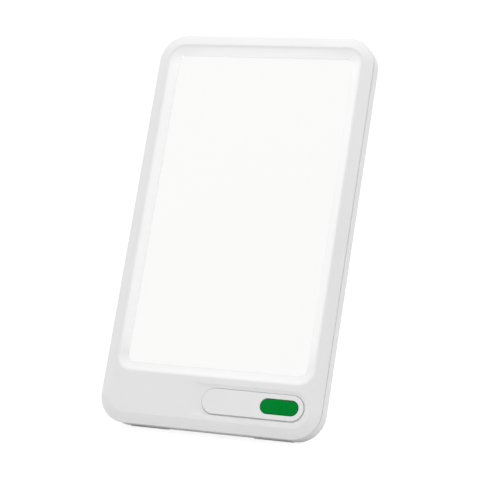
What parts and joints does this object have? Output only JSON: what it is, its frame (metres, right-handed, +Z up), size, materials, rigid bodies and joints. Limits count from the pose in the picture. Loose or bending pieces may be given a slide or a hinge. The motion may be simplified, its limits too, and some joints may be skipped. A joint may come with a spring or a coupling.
{
  "type": "light therapy lamp",
  "caption": "Tablet-shaped light therapy lamp: a glowing opal window in a rounded white frame, a pill-shaped push button in the chin, and a fold-out leg at the back.",
  "frame": {"origin": "middle of the footprint, on the surface that the lamp stands on", "axes": "+Z up, -Y towards the user, who looks at the glowing window; +X to the user's right"},
  "size_m": [0.152, 0.1168, 0.2474],
  "materials": {
    "housing": "white satin moulded ABS",
    "diffuser": "opal acrylic, lit from behind",
    "film": "clear prism film",
    "guide": "clear acrylic",
    "reflector": "white sheet",
    "seal": "black foam",
    "tray": "folded sheet",
    "strip": "white solder mask",
    "button": "green satin",
    "board": "green solder mask",
    "component": "black moulded",
    "can": "drawn can",
    "socket": "black moulded",
    "contact": "plated",
    "lead": "insulated wire",
    "screw": "zinc plated",
    "pin": "ground",
    "foot": "grey silicone"
  },
  "bodies": {
    "housing": {"front_frame": "housing", "rear_cover": "housing", "control_plate": "housing", "diffuser_panel": "diffuser", "prism_film": "film", "light_guide": "guide", "reflector_sheet": "reflector", "light_seal": "seal", "light_tray": "tray", "led_strip_left": "strip", "led_strip_right": "strip", "control_board": "board", "driver_chip": "component", "inductor": "component", "capacitor_1": "can", "capacitor_2": "can", "switch_body": "component", "dc_socket": "socket", "dc_socket_pin": "contact", "led_lead_left": "lead", "led_lead_right": "lead", "cover_screw_1": "screw", "cover_screw_2": "screw", "cover_screw_3": "screw", "cover_screw_4": "screw", "cover_screw_5": "screw", "cover_screw_6": "screw", "board_screw_1": "screw", "board_screw_2": "screw", "hinge_pin_left": "pin", "hinge_pin_right": "pin", "foot_pad_left": "foot", "foot_pad_right": "foot"},
    "leg": {"kickstand": "housing", "kickstand_pad_left": "foot", "kickstand_pad_right": "foot"},
    "button": {"power_button": "button"},
    "plunger": {"switch_plunger": "component"}
  },
  "joints": [
    {"name": "leg_hinge", "type": "hinge", "parent": "housing", "child": "leg", "pos_m": [0, 0.01635, 0.14652], "axis": [1, 0, 0], "range_deg": [-35.6, 0]},
    {"name": "button_press", "type": "slide", "parent": "housing", "child": "button", "axis": [0, 0.9164, -0.4003], "range_m": [0, 0.0006], "stiffness_N_per_m": 2500},
    {"name": "plunger_press", "type": "slide", "parent": "housing", "child": "plunger", "axis": [0, 0.9164, -0.4003], "range_m": [0, 0.0007]}
  ],
  "couplings": [
    {"joint": "plunger_press", "follows": "button_press", "ratio": 1}
  ]
}
